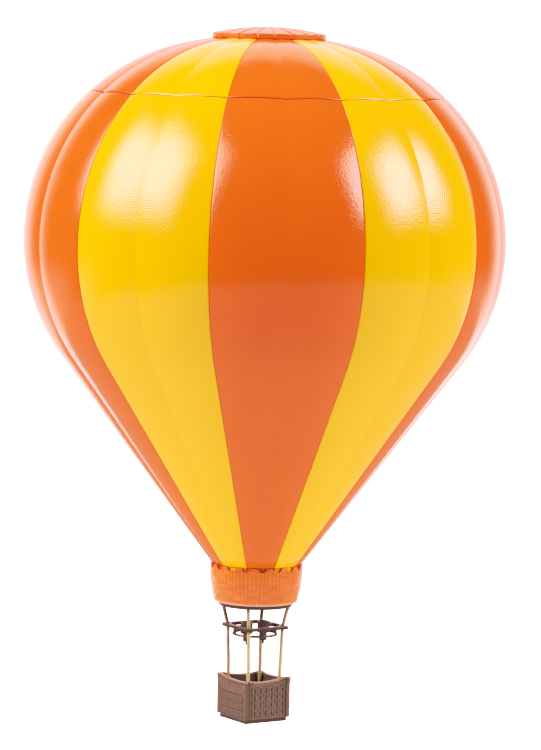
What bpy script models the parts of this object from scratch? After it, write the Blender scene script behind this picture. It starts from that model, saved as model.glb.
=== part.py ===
# Hot air balloon, a small moulded plastic scale model with a basket on four brass wires
# Metres, +Z up, origin on top of the crown cap. Plan angles run from -Y towards +X.

import math

import bmesh
import bpy
from mathutils import Matrix, Vector

# Envelope outline: crown arc, shoulder arc, belly arc and a straight cone
PANELS = 10
LOBES_PER_PANEL = 2
FIRST_SEAM = math.radians(-45)
EQUATOR_RADIUS = 0.0576
EQUATOR_Z = -0.0510
SHOULDER_RADIUS = 0.0481
SHOULDER_END = math.radians(76.5)
BELLY_RADIUS = 0.0463
CONE_ANGLE = math.radians(37.05)
CROWN_HOLE_RADIUS = 0.0080
UPPER_JOINT_Z = -0.01605
LOBE_DEPTH = 0.00058
WALL = 0.0012
GAP = 0.0003

# Crown cap: a shallow grooved dome with a boss in the crown hole
CAP_RADIUS = 0.01355
CAP_RISE = 0.0016
CAP_EDGE_ROUND = 0.0003
CAP_MIDDLE_SHARE = 0.65
CAP_BOSS_DEPTH = 0.0018
CAP_GROOVES = 20
CAP_GROOVE_DEPTH = 0.00022
CAP_GROOVE_HALF_ANGLE = math.radians(1.4)
CAP_GROOVE_START = 0.0035

# Skirt round the mouth and the neck of the envelope inside it
SKIRT_TOP_Z = -0.1284
SKIRT_BEND_Z = -0.1312
SKIRT_BOTTOM_Z = -0.13765
SKIRT_TOP_RADIUS = 0.0111
SKIRT_BOTTOM_RADIUS = 0.01015
SKIRT_WALL = 0.0009
SKIRT_EDGE_ROUND = 0.0004
NOTCHES = 18
NOTCH_RADIUS = 0.00115
NOTCH_CENTRE_Z = SKIRT_TOP_Z + 0.00015
NOTCH_OVERRUN = 0.0008
NECK_RADIUS = SKIRT_TOP_RADIUS - SKIRT_WALL - GAP
NECK_END_Z = -0.1310

# Mouth ring that carries the wires
RING_OUTER_RADIUS = 0.00895
RING_INNER_RADIUS = 0.0068
RING_TOP_Z = -0.1366
RING_BOTTOM_Z = -0.1386
RING_EDGE_ROUND = 0.0002

# Suspension wires on the four diagonals
WIRES = 4
WIRE_RADIUS = 0.00042
WIRE_RING_RADIUS = 0.00815
WIRE_FRAME_RADIUS = 0.00674
WIRE_BASKET_RADIUS = 0.00595

# Burner frame, lower pipe ring and twin burners
FRAME_Z = -0.14375
FRAME_HEIGHT = 0.0008
FRAME_OUTER = 0.0059
FRAME_INNER = 0.0049
FRAME_CORNER_ROUND = 0.0004
FRAME_GUSSET = 0.0017
EYE_HOLE_RADIUS = WIRE_RADIUS + GAP
ARM_END_HALF_WIDTH = 0.0005
ARM_ROOT_HALF_WIDTH = 0.0007
BURNER_X = 0.00235
CAN_RADIUS = 0.00145
CAN_BORE_RADIUS = 0.0010
CAN_BORE_DEPTH = 0.0005
CAN_TOP_ABOVE_FRAME = 0.0010
CAN_FOOT_BELOW_FRAME = 0.0017
VALVE_RADIUS = 0.0009
VALVE_BOTTOM_BELOW_FRAME = 0.0036
KNOB_BOTTOM_BELOW_FRAME = 0.0045
KNOB_RADIUS = 0.0003
PIPE_RING_RADIUS = 0.0052
PIPE_RADIUS = 0.00032
PIPE_RING_Z = -0.14560
PIPE_POST_RADIUS = 0.00045
PIPE_POST_FOOT = 0.0002
PIPE_POST_TURN = math.radians(-11.5)

# Basket: two long side walls, two walls fitted between them, and a floor plate
BASKET_SIDE = 0.0129
BASKET_WALL = 0.00095
BASKET_CORNER_Z = -0.1557
BASKET_RIM_SAG = 0.0006
BASKET_BOTTOM_Z = -0.1654
WEAVE_RELIEF = 0.0003
WEAVE_ROWS = 5
WEAVE_COLUMNS = 6
WEAVE_SHARE = 0.86
PAD_SUNK = 0.0002
LONG_WALL_BORDER = 0.0008
SHORT_WALL_BORDER = 0.0004
RIM_BAND = 0.0013
FOOT_BAND = 0.0005
FLOOR_SIDE = 0.0117
FLOOR_TOP_Z = BASKET_BOTTOM_Z - GAP
FLOOR_BOTTOM_Z = -0.1664

# Colours: linear red, green and blue, roughness, metallic
ORANGE = (0.83, 0.13, 0.012, 0.22, 0.0)
YELLOW = (1.0, 0.60, 0.0, 0.22, 0.0)
TRIM_ORANGE = (0.86, 0.18, 0.03, 0.35, 0.0)
BROWN = (0.19, 0.085, 0.06, 0.5, 0.0)
BRASS = (0.72, 0.56, 0.28, 0.3, 1.0)


def clear_scene():
    for item in list(bpy.data.objects):
        bpy.data.objects.remove(item)


def new_collection(name, hidden=False):
    folder = bpy.data.collections.new(name)
    bpy.context.scene.collection.children.link(folder)
    folder.hide_render = hidden
    return folder


def material(name, look):
    found = bpy.data.materials.get(name)
    if found:
        return found
    made = bpy.data.materials.new(name)
    made.use_nodes = True
    shader = made.node_tree.nodes["Principled BSDF"]
    shader.inputs["Base Color"].default_value = (*look[:3], 1.0)
    shader.inputs["Roughness"].default_value = look[3]
    shader.inputs["Metallic"].default_value = look[4]
    return made


def add_object(name, data, folder, look=None, look_name=None):
    item = bpy.data.objects.new(name, data)
    folder.objects.link(item)
    if look:
        data.materials.clear()
        data.materials.append(material(look_name or name, look))
    return item


def mesh_from(shape, name, smooth=True, sharp=30):
    mesh = bpy.data.meshes.new(name)
    shape.to_mesh(mesh)
    shape.free()
    if smooth:
        mesh.shade_smooth()
        mesh.set_sharp_from_angle(angle=math.radians(sharp))
    return mesh


def spoke(angle, radius, z=0.0):
    return Vector((radius * math.sin(angle), -radius * math.cos(angle), z))


def between(start, end, steps):
    return [start + (end - start) * i / steps for i in range(steps + 1)]


def arc(centre, radius, start, end, steps):
    """Points (r, z) on an arc whose angle is measured up from the outward direction."""
    return [(centre[0] + radius * math.cos(a), centre[1] + radius * math.sin(a))
            for a in between(start, end, steps)]


# Outline of the envelope in the (r, z) half plane

SHOULDER_CENTRE = (EQUATOR_RADIUS - SHOULDER_RADIUS, EQUATOR_Z)
BELLY_CENTRE = (EQUATOR_RADIUS - BELLY_RADIUS, EQUATOR_Z)
CROWN_RADIUS = SHOULDER_RADIUS + SHOULDER_CENTRE[0] / math.cos(SHOULDER_END)
CROWN_CENTRE = (0.0, EQUATOR_Z - (CROWN_RADIUS - SHOULDER_RADIUS) * math.sin(SHOULDER_END))


def crown_z(radius):
    return CROWN_CENTRE[1] + math.sqrt(CROWN_RADIUS ** 2 - radius ** 2)


def shoulder_angle(z):
    return math.asin((z - SHOULDER_CENTRE[1]) / SHOULDER_RADIUS)


def upper_outline():
    hole = math.acos(CROWN_HOLE_RADIUS / CROWN_RADIUS)
    crown = arc(CROWN_CENTRE, CROWN_RADIUS, hole, SHOULDER_END, 2)
    end = shoulder_angle(UPPER_JOINT_Z + GAP / 2)
    return crown + arc(SHOULDER_CENTRE, SHOULDER_RADIUS, SHOULDER_END, end, 4)[1:]


def lower_outline():
    start = shoulder_angle(UPPER_JOINT_Z - GAP / 2)
    points = arc(SHOULDER_CENTRE, SHOULDER_RADIUS, start, 0.0, 8)
    points += arc(BELLY_CENTRE, BELLY_RADIUS, 0.0, -CONE_ANGLE, 6)[1:]
    cone_radius, cone_z = points[-1]
    for z in between(cone_z, SKIRT_TOP_Z + GAP, 3)[1:]:
        points.append((cone_radius - (cone_z - z) * math.tan(CONE_ANGLE), z))
    ledge_z = points[-1][1]
    points.append((NECK_RADIUS, ledge_z - GAP))
    points.append((NECK_RADIUS, NECK_END_Z))
    return points


def panel_mesh(name, outline, columns):
    """One coloured panel: a grid bent round the axis, with a crease between its lobes."""
    rows = len(outline) - 1
    shape = bmesh.new()
    bmesh.ops.create_grid(shape, x_segments=columns, y_segments=rows, size=1.0)
    for vertex in shape.verts:
        across = (vertex.co.x + 1) / 2
        radius, z = outline[round((1 - vertex.co.y) / 2 * rows)]
        edge = math.asin(GAP / 2 / radius)
        half = math.pi / PANELS - edge
        lobe = (across * LOBES_PER_PANEL) % 1.0
        bulge = LOBE_DEPTH * radius / EQUATOR_RADIUS * (2 * lobe - 1) ** 2
        vertex.co = spoke((2 * across - 1) * half, radius - bulge, z)
    bmesh.ops.recalc_face_normals(shape, faces=shape.faces)
    middle = shape.faces[:][len(shape.faces) // 2]
    if middle.normal.dot(spoke(0, 1)) < 0:
        bmesh.ops.reverse_faces(shape, faces=shape.faces)
    return mesh_from(shape, name, sharp=40)


def add_panels(folder, prefix, outline, columns):
    for number in range(PANELS):
        colour, look = (("orange", ORANGE), ("yellow", YELLOW))[number % 2]
        name = f"{prefix}_{number + 1:02d}"
        data = bpy.data.meshes.get(f"{prefix}_{colour}")
        if data is None:
            data = panel_mesh(f"{prefix}_{colour}", outline, columns)
        panel = add_object(name, data, folder, look, f"{colour}_polystyrene")
        panel.rotation_euler.z = FIRST_SEAM + (number + 0.5) * 2 * math.pi / PANELS
        shell = panel.modifiers.new("wall", "SOLIDIFY")
        shell.thickness = WALL
        shell.offset = -1
        shell.use_even_offset = True


# Crown cap

def cap_outline():
    sphere = (CAP_RADIUS ** 2 + CAP_RISE ** 2) / (2 * CAP_RISE)

    def dome_z(radius):
        return math.sqrt(sphere ** 2 - radius ** 2) - sphere

    middle = CAP_MIDDLE_SHARE * CAP_RADIUS
    rim_top = CAP_RADIUS - CAP_EDGE_ROUND
    boss_radius = CROWN_HOLE_RADIUS - GAP
    under_z = crown_z(CAP_RADIUS) + GAP
    boss_top_z = crown_z(CROWN_HOLE_RADIUS) + GAP
    return [
        (0.0, 0.0),
        (CAP_GROOVE_START, dome_z(CAP_GROOVE_START)),
        (middle, dome_z(middle)),
        (rim_top, dome_z(rim_top)),
        (CAP_RADIUS, dome_z(CAP_RADIUS) - CAP_EDGE_ROUND),
        (CAP_RADIUS, under_z),
        (boss_radius, boss_top_z),
        (boss_radius, boss_top_z - CAP_BOSS_DEPTH),
        (0.0, boss_top_z - CAP_BOSS_DEPTH),
    ]


def add_crown_cap(folder):
    """A spun dome whose every fourth column of points is pressed in as a groove."""
    outline = cap_outline()
    shape = bmesh.new()
    points = [shape.verts.new((radius, 0, z)) for radius, z in outline]
    for first, second in zip(points, points[1:]):
        shape.edges.new((first, second))
    columns = CAP_GROOVES * 4
    bmesh.ops.spin(shape, geom=shape.verts[:] + shape.edges[:], cent=(0, 0, 0), axis=(0, 0, 1),
                   angle=2 * math.pi, steps=columns, use_merge=True)
    bmesh.ops.remove_doubles(shape, verts=shape.verts, dist=1e-6)
    pitch = 2 * math.pi / CAP_GROOVES
    under_z = outline[5][1]
    for vertex in shape.verts:
        radius = vertex.co.xy.length
        if radius < 1e-6:
            continue
        turn = math.atan2(vertex.co.y, vertex.co.x)
        step = round(turn / (2 * math.pi) * columns)
        groove = (step // 4) * pitch
        place = (0.0, CAP_GROOVE_HALF_ANGLE, pitch / 2, pitch - CAP_GROOVE_HALF_ANGLE)[step % 4]
        z = vertex.co.z
        top = radius > CAP_GROOVE_START * 1.1 and z > under_z + 1e-6
        if step % 4 == 0 and top and radius > CROWN_HOLE_RADIUS:
            z -= CAP_GROOVE_DEPTH
            if radius > CAP_RADIUS - 2 * CAP_EDGE_ROUND:
                radius -= CAP_GROOVE_DEPTH
        turn = groove + place
        vertex.co = (radius * math.cos(turn), radius * math.sin(turn), z)
    bmesh.ops.recalc_face_normals(shape, faces=shape.faces)
    cap = add_object("crown_cap", mesh_from(shape, "crown_cap"), folder, TRIM_ORANGE, "cap_orange")
    cap.rotation_euler.z = FIRST_SEAM - math.pi / 2


# Turned pieces

def turned(name, folder, outline, look, look_name, steps):
    """A profile at +X, listed down its outer side, turned round Z by a Screw modifier."""
    closed = outline[0][0] > 0
    shape = bmesh.new()
    points = [shape.verts.new((radius, 0, z)) for radius, z in outline]
    for first, second in zip(points, points[1:]):
        shape.edges.new((first, second))
    if closed:
        shape.edges.new((points[-1], points[0]))
    piece = add_object(name, mesh_from(shape, name, smooth=False), folder, look, look_name)
    screw = piece.modifiers.new("turn", "SCREW")
    screw.angle = 2 * math.pi
    screw.steps = steps
    screw.render_steps = steps
    screw.use_merge_vertices = True
    screw.merge_threshold = 0.00001
    screw.use_smooth_shade = True
    return piece


def cut(piece, cutter, name):
    trim = piece.modifiers.new(name, "BOOLEAN")
    trim.operation = "DIFFERENCE"
    trim.object = cutter
    cutter.hide_render = True
    cutter.display_type = "WIRE"


def cylinder(shape, radius, start, end, segments):
    """A capped cylinder between two points, added to the shape."""
    axis = end - start
    turn = axis.to_track_quat("Z", "Y").to_matrix().to_4x4()
    bmesh.ops.create_cone(shape, cap_ends=True, segments=segments, radius1=radius, radius2=radius,
                          depth=axis.length, matrix=Matrix.Translation((start + end) / 2) @ turn)


def add_skirt(folder, cutters):
    inner_top = SKIRT_TOP_RADIUS - SKIRT_WALL
    inner_bottom = SKIRT_BOTTOM_RADIUS - SKIRT_WALL
    turn = SKIRT_EDGE_ROUND
    corner = turn * (1 - math.cos(math.pi / 4))
    outline = [
        (inner_top, SKIRT_TOP_Z),
        (SKIRT_TOP_RADIUS, SKIRT_TOP_Z),
        (SKIRT_TOP_RADIUS, SKIRT_BEND_Z),
        (SKIRT_BOTTOM_RADIUS, SKIRT_BOTTOM_Z + turn),
        (SKIRT_BOTTOM_RADIUS - corner, SKIRT_BOTTOM_Z + corner),
        (SKIRT_BOTTOM_RADIUS - turn, SKIRT_BOTTOM_Z),
        (inner_bottom, SKIRT_BOTTOM_Z),
        (inner_bottom, RING_TOP_Z + GAP),
        (inner_top, SKIRT_BEND_Z),
    ]
    skirt = turned("skirt", folder, outline, TRIM_ORANGE, "skirt_orange", 54)
    shape = bmesh.new()
    for number in range(NOTCHES):
        angle = FIRST_SEAM + number * 2 * math.pi / NOTCHES
        inside = spoke(angle, inner_top - NOTCH_OVERRUN, NOTCH_CENTRE_Z)
        outside = spoke(angle, SKIRT_TOP_RADIUS + NOTCH_OVERRUN, NOTCH_CENTRE_Z)
        cylinder(shape, NOTCH_RADIUS, inside, outside, 14)
    cutter = add_object("skirt_notches", mesh_from(shape, "skirt_notches"), cutters)
    cut(skirt, cutter, "notches")


def add_mouth_ring(folder):
    edge = RING_EDGE_ROUND
    outline = [
        (RING_INNER_RADIUS, RING_TOP_Z),
        (RING_OUTER_RADIUS, RING_TOP_Z),
        (RING_OUTER_RADIUS, RING_BOTTOM_Z + edge),
        (RING_OUTER_RADIUS - edge, RING_BOTTOM_Z),
        (RING_INNER_RADIUS, RING_BOTTOM_Z),
    ]
    turned("mouth_ring", folder, outline, BROWN, "ring_brown", 48)


# Wires, each a bent rod from the mouth ring through the frame eye to a corner of the basket floor

def wire_bend(angle):
    return [
        spoke(angle, WIRE_RING_RADIUS, RING_BOTTOM_Z - GAP),
        spoke(angle, WIRE_FRAME_RADIUS, FRAME_Z),
        spoke(angle, WIRE_BASKET_RADIUS, FLOOR_TOP_Z + GAP),
    ]


def add_wires(folder):
    for number in range(WIRES):
        name = f"suspension_wire_{number + 1}"
        angle = FIRST_SEAM + number * 2 * math.pi / WIRES
        data = bpy.data.curves.new(name, "CURVE")
        data.dimensions = "3D"
        data.bevel_depth = WIRE_RADIUS
        data.bevel_resolution = 2
        data.use_fill_caps = True
        path = data.splines.new("POLY")
        places = wire_bend(angle)
        path.points.add(len(places) - 1)
        for point, place in zip(path.points, places):
            point.co = (*place, 1)
        add_object(name, data, folder, BRASS, "brass_wire")


# Burner frame and what it carries

def prism(shape, places, height):
    """An upright prism on an outline in plan, half above and half below Z = 0."""
    base = shape.faces.new([shape.verts.new((x, y, -height / 2)) for x, y in places])
    made = bmesh.ops.extrude_face_region(shape, geom=[base])
    moved = [item for item in made["geom"] if isinstance(item, bmesh.types.BMVert)]
    bmesh.ops.translate(shape, verts=moved, vec=(0, 0, height))
    bmesh.ops.recalc_face_normals(shape, faces=shape.faces)


def ring_points(x, y, radius, count):
    turns = between(0.0, 2 * math.pi, count)[:-1]
    return [(x + radius * math.cos(a), y + radius * math.sin(a)) for a in turns]


def frame_outline():
    points = []
    inset = FRAME_OUTER - FRAME_CORNER_ROUND
    for corner in range(4):
        turn = math.pi / 4 + corner * math.pi / 2
        x = math.copysign(inset, math.cos(turn))
        y = math.copysign(inset, math.sin(turn))
        points += [(x + FRAME_CORNER_ROUND * math.cos(a), y + FRAME_CORNER_ROUND * math.sin(a))
                   for a in between(turn - math.pi / 4, turn + math.pi / 4, 3)]
    return points


def frame_window():
    """The open middle, with an arm from the left and right side that ends at a burner can."""
    gusset = FRAME_INNER - FRAME_GUSSET
    arm_end = BURNER_X + CAN_RADIUS + GAP
    quarter = [(arm_end, ARM_END_HALF_WIDTH), (FRAME_INNER, ARM_ROOT_HALF_WIDTH),
               (FRAME_INNER, gusset), (gusset, FRAME_INNER)]
    half = quarter + [(-x, y) for x, y in reversed(quarter)]
    return half + [(x, -y) for x, y in reversed(half)]


def add_burner_frame(folder, cutters):
    shape = bmesh.new()
    prism(shape, frame_outline(), FRAME_HEIGHT)
    frame = add_object("burner_frame", mesh_from(shape, "burner_frame", smooth=False), folder,
                       BROWN, "frame_brown")
    shape = bmesh.new()
    prism(shape, frame_window(), 3 * FRAME_HEIGHT)
    for number in range(WIRES):
        eye = spoke(FIRST_SEAM + number * 2 * math.pi / WIRES, WIRE_FRAME_RADIUS)
        prism(shape, ring_points(eye.x, eye.y, EYE_HOLE_RADIUS, 12), 3 * FRAME_HEIGHT)
    cutter = add_object("frame_openings", mesh_from(shape, "frame_openings", smooth=False), cutters)
    cut(frame, cutter, "openings")
    for item in (frame, cutter):
        item.location.z = FRAME_Z


def add_burners(folder):
    outline = [
        (0.0, CAN_TOP_ABOVE_FRAME - CAN_BORE_DEPTH),
        (CAN_BORE_RADIUS, CAN_TOP_ABOVE_FRAME - CAN_BORE_DEPTH),
        (CAN_BORE_RADIUS, CAN_TOP_ABOVE_FRAME),
        (CAN_RADIUS, CAN_TOP_ABOVE_FRAME),
        (CAN_RADIUS, -CAN_FOOT_BELOW_FRAME),
        (VALVE_RADIUS, -CAN_FOOT_BELOW_FRAME),
        (VALVE_RADIUS, -VALVE_BOTTOM_BELOW_FRAME),
        (KNOB_RADIUS, -VALVE_BOTTOM_BELOW_FRAME),
        (KNOB_RADIUS, -KNOB_BOTTOM_BELOW_FRAME),
        (0.0, -KNOB_BOTTOM_BELOW_FRAME),
    ]
    for number, x in ((1, -BURNER_X), (2, BURNER_X)):
        burner = turned(f"burner_{number}", folder, outline, BROWN, "burner_brown", 18)
        burner.location = (x, 0, FRAME_Z)


def add_pipe_ring(folder):
    """The gas pipe: a round ring with an upright under each side of the frame."""
    name = "burner_pipe_ring"
    outline = [(PIPE_RING_RADIUS + x, y) for x, y in ring_points(0, 0, PIPE_RADIUS, 8)]
    ring = turned(name, folder, outline[::-1], BROWN, "pipe_brown", 40)
    ring.location.z = PIPE_RING_Z
    shape = bmesh.new()
    post_top = FRAME_Z - FRAME_HEIGHT / 2 - GAP - PIPE_RING_Z
    for number in range(4):
        angle = PIPE_POST_TURN + number * math.pi / 2
        cylinder(shape, PIPE_POST_RADIUS, spoke(angle, PIPE_RING_RADIUS, -PIPE_POST_FOOT),
                 spoke(angle, PIPE_RING_RADIUS, post_top), 8)
    return ring, mesh_from(shape, "pipe_posts")


# Basket

def rim_z(along):
    """Height of a wall's top edge, raised at both ends; along runs from -1 to 1."""
    return BASKET_CORNER_Z - BASKET_RIM_SAG * (1 - along * along)


def wall_blank(shape, length, thickness):
    """A plain wall standing on the basket's bottom line, with a sagging top edge, facing +Y."""
    steps = 8
    half = length / 2
    bottom = [(-half, BASKET_BOTTOM_Z), (half, BASKET_BOTTOM_Z)]
    top = [(-half + length * i / steps, rim_z(-1 + 2 * i / steps)) for i in range(steps, -1, -1)]
    front = shape.faces.new([shape.verts.new((x, 0, z)) for x, z in bottom + top])
    made = bmesh.ops.extrude_face_region(shape, geom=[front])
    moved = [item for item in made["geom"] if isinstance(item, bmesh.types.BMVert)]
    bmesh.ops.translate(shape, verts=moved, vec=(0, -thickness, 0))


def weave_pads(shape, length):
    """Raised pads in every other cell of the weave, sunk a little into the wall's face."""
    height = BASKET_CORNER_Z - BASKET_RIM_SAG - RIM_BAND - BASKET_BOTTOM_Z - FOOT_BAND
    cell_x = length / WEAVE_COLUMNS
    cell_z = height / WEAVE_ROWS
    for row in range(WEAVE_ROWS):
        for column in range(WEAVE_COLUMNS):
            if (row + column) % 2:
                continue
            centre = Vector((-length / 2 + (column + 0.5) * cell_x, (WEAVE_RELIEF - PAD_SUNK) / 2,
                             BASKET_BOTTOM_Z + FOOT_BAND + (row + 0.5) * cell_z))
            size = (cell_x * WEAVE_SHARE, WEAVE_RELIEF + PAD_SUNK, cell_z * WEAVE_SHARE)
            place = Matrix.Translation(centre) @ Matrix.Diagonal((*size, 1))
            bmesh.ops.create_cube(shape, size=1.0, matrix=place)


def add_basket_walls(folder, cutters):
    thickness = BASKET_WALL
    face = BASKET_SIDE / 2 - WEAVE_RELIEF
    short = BASKET_SIDE - 2 * (WEAVE_RELIEF + thickness + GAP)
    table = (
        # side, turn from +Y, wall length, plain border at each end
        ("left", 90, BASKET_SIDE, LONG_WALL_BORDER),
        ("right", -90, BASKET_SIDE, LONG_WALL_BORDER),
        ("back", 0, short, SHORT_WALL_BORDER),
        ("front", 180, short, SHORT_WALL_BORDER),
    )
    for side, turn, length, border in table:
        name = f"basket_wall_{side}"
        shape = bmesh.new()
        wall_blank(shape, length, thickness)
        bmesh.ops.recalc_face_normals(shape, faces=shape.faces)
        wall = add_object(name, mesh_from(shape, name, smooth=False), folder, BROWN, "basket_brown")
        wall.rotation_euler.z = math.radians(turn)
        wall.location = wall.rotation_euler.to_matrix() @ Vector((0, face, 0))
        shape = bmesh.new()
        weave_pads(shape, length - 2 * border)
        pads = add_object(f"{name}_weave", mesh_from(shape, name, smooth=False), cutters)
        pads.rotation_euler = wall.rotation_euler
        pads.location = wall.location
        join(wall, pads, "weave")


def join(piece, other, name):
    cut(piece, other, name)
    piece.modifiers[name].operation = "UNION"


def add_basket_floor(folder):
    shape = bmesh.new()
    height = FLOOR_TOP_Z - FLOOR_BOTTOM_Z
    place = Matrix.Translation((0, 0, FLOOR_BOTTOM_Z + height / 2))
    size = Matrix.Diagonal((FLOOR_SIDE, FLOOR_SIDE, height, 1))
    bmesh.ops.create_cube(shape, size=1.0, matrix=place @ size)
    add_object("basket_floor", mesh_from(shape, "basket_floor", smooth=False), folder,
               BROWN, "floor_brown")


def build():
    clear_scene()
    parts = new_collection("hot_air_balloon")
    cutters = new_collection("cutters", hidden=True)
    add_crown_cap(parts)
    add_panels(parts, "gore_upper", upper_outline(), 6)
    add_panels(parts, "gore_lower", lower_outline(), 6)
    add_skirt(parts, cutters)
    add_mouth_ring(parts)
    add_wires(parts)
    add_burner_frame(parts, cutters)
    add_burners(parts)
    ring, posts = add_pipe_ring(parts)
    upright = add_object("pipe_posts", posts, cutters)
    upright.location = ring.location
    join(ring, upright, "posts")
    add_basket_walls(parts, cutters)
    add_basket_floor(parts)


build()
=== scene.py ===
import math

import bmesh
import bpy
from mathutils import Euler, Matrix, Vector, noise


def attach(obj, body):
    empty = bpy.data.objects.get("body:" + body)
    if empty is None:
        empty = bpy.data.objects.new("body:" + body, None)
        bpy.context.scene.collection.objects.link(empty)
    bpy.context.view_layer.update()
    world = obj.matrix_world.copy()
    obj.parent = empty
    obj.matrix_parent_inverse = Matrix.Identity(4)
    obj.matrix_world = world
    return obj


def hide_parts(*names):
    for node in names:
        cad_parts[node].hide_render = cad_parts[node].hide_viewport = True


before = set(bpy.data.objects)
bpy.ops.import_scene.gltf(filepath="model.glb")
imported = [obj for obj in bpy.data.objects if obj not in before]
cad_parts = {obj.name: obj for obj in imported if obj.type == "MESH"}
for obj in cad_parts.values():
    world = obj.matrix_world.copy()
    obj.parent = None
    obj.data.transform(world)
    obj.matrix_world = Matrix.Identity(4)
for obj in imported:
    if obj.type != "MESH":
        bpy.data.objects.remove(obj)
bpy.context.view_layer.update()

# Envelope, lower part. Ten gores moulded in gloss polystyrene, orange and yellow in turn and
# 1.2 mm thick, glued edge to edge. Each has two soft lobes with a crease between them, where the
# load tape of a real envelope pulls it in, and a small round mark on both sides of the crease.

GORES = 10
GORE_ANGLE = 2 * math.pi / GORES
FIRST_SEAM = math.radians(-45)
EQUATOR_RADIUS = 0.0576
EQUATOR_Z = -0.0510
SHOULDER_RADIUS = 0.0481
SHOULDER_END = math.radians(76.5)
BELLY_RADIUS = 0.0463
CONE_ANGLE = math.radians(37.05)
LOBE_DEPTH = 0.00058
WALL = 0.0012
JOINT_Z = -0.01585
JOINT_HALF_GAP = 0.00009
JOINT_ROUND = 0.00050
JOINT_SHADE_REACH = 0.00014
JOINT_WOBBLE = 0.00001
JOINT_WOBBLE_REACH = 0.0006
SEAM_HALF_GAP = 0.00002
SEAM_ROUND = 0.00036
SEAM_SHADE_REACH = 0.00004
GORE_STANDS_OUT = 0.00003
NECK_RADIUS = 0.0105
NECK_TOP_Z = -0.1282
NECK_BEND_HEIGHT = 0.0001
NECK_END_Z = -0.1310
MARK_Z = -0.0360
MARK_TO_CREASE_MM = 2.4
CUTTER_PITCH_MM = 0.6
POLYSTYRENE_IOR = 1.57
ORANGE = "D66D18"
YELLOW = "FFC600"

crown_radius = SHOULDER_RADIUS + (EQUATOR_RADIUS - SHOULDER_RADIUS) / math.cos(SHOULDER_END)
crown_centre_z = EQUATOR_Z - (crown_radius - SHOULDER_RADIUS) * math.sin(SHOULDER_END)
joint_angle = math.asin((JOINT_Z - EQUATOR_Z) / SHOULDER_RADIUS)


def linear(hex_colour):
    """An sRGB hex colour as linear red, green, blue and alpha."""
    parts = [int(hex_colour[i:i + 2], 16) / 255 for i in (0, 2, 4)]
    return tuple(p / 12.92 if p <= 0.04045 else ((p + 0.055) / 1.055) ** 2.4 for p in parts) + (1.0,)


def shade(hex_colour, *factors):
    """A hex colour times one factor, or times one each for red, green and blue."""
    factors *= 3 // len(factors)
    return tuple(min(1.0, c * f) for c, f in zip(linear(hex_colour), factors)) + (1.0,)


def feed(tree, node, inputs):
    """Links or sets a node's inputs, by name or number. A node stands for the output it uses."""
    for name, value in inputs.items():
        if isinstance(value, bpy.types.Node):
            value = next(output for output in value.outputs if output.enabled)
        if isinstance(value, bpy.types.NodeSocket):
            tree.links.new(value, node.inputs[name])
        else:
            node.inputs[name].default_value = value


def add_node(tree, kind, inputs=None, **settings):
    """Adds a shader node with its settings, links and values."""
    node = tree.nodes.new("ShaderNode" + kind)
    for name, value in settings.items():
        setattr(node, name, value)
    feed(tree, node, inputs or {})
    return node


def new_material(name):
    """An empty material with its Principled shader joined to the output."""
    material = bpy.data.materials.new(name)
    material.use_nodes = True
    tree = material.node_tree
    return material, tree, tree.nodes["Principled BSDF"]


def between(start, end, steps):
    return [start + (end - start) * i / steps for i in range(steps + 1)]


def spoke(angle, radius, z=0.0):
    """A point at a plan angle that runs from -Y towards +X."""
    return Vector((radius * math.sin(angle), -radius * math.cos(angle), z))


def outline_point(elevation):
    """Radius, height and surface elevation where the outline faces that far above the horizon."""
    centre_x, centre_z, radius = EQUATOR_RADIUS - BELLY_RADIUS, EQUATOR_Z, BELLY_RADIUS
    if elevation > SHOULDER_END:
        centre_x, centre_z, radius = 0.0, crown_centre_z, crown_radius
    elif elevation > 0:
        centre_x, radius = EQUATOR_RADIUS - SHOULDER_RADIUS, SHOULDER_RADIUS
    return (centre_x + radius * math.cos(elevation), centre_z + radius * math.sin(elevation),
            elevation)


def fallen(distance, radius):
    """How far a rounded edge has dropped at a distance from its rim."""
    share = min(1.0, max(0.0, 1 - distance / radius))
    return radius * (1 - math.sqrt(1 - share * share))


def lower_rows():
    """(radius, height, elevation, distance from the joint) down a lower gore, closer together
    over the rounded edge at the joint."""
    near = [0.0, 0.00003, 0.00007, 0.00012, 0.00019, 0.00027, 0.00036, 0.00045, 0.00054]
    far = 1.0
    angles = [joint_angle - (JOINT_HALF_GAP + d) / SHOULDER_RADIUS for d in near]
    angles += between(angles[-1], 0.0, 26)[1:] + between(0.0, -CONE_ANGLE, 22)[1:]
    rows = [outline_point(a) + ((joint_angle - a) * SHOULDER_RADIUS,) for a in angles]
    cone_radius, cone_z = rows[-1][:2]
    for z in between(cone_z, NECK_TOP_Z, 16)[1:]:
        rows.append((cone_radius - (cone_z - z) * math.tan(CONE_ANGLE), z, -CONE_ANGLE, far))
    rows.append((NECK_RADIUS, NECK_TOP_Z - NECK_BEND_HEIGHT, 0.0, far))
    rows.append((NECK_RADIUS, NECK_END_Z, 0.0, far))
    return rows


def across(half_width):
    """Distances from the crease towards one seam, closer together at both edges."""
    inner = [0.0, 0.00010, 0.00022]
    middle = between(inner[-1], half_width - 0.00046, 30)[1:]
    return inner + middle + [half_width - d for d in (0.00034, 0.00024, 0.00015, 0.00008, 0.00003, 0.0)]


def moulded(shape, sharp=None):
    """A shape as a mesh, smooth except at edges sharper than an angle in degrees, if one is given."""
    mesh = bpy.data.meshes.new("moulding")
    shape.to_mesh(mesh)
    shape.free()
    if sharp:
        mesh.shade_smooth()
        mesh.set_sharp_from_angle(angle=math.radians(sharp))
    return mesh


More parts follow.
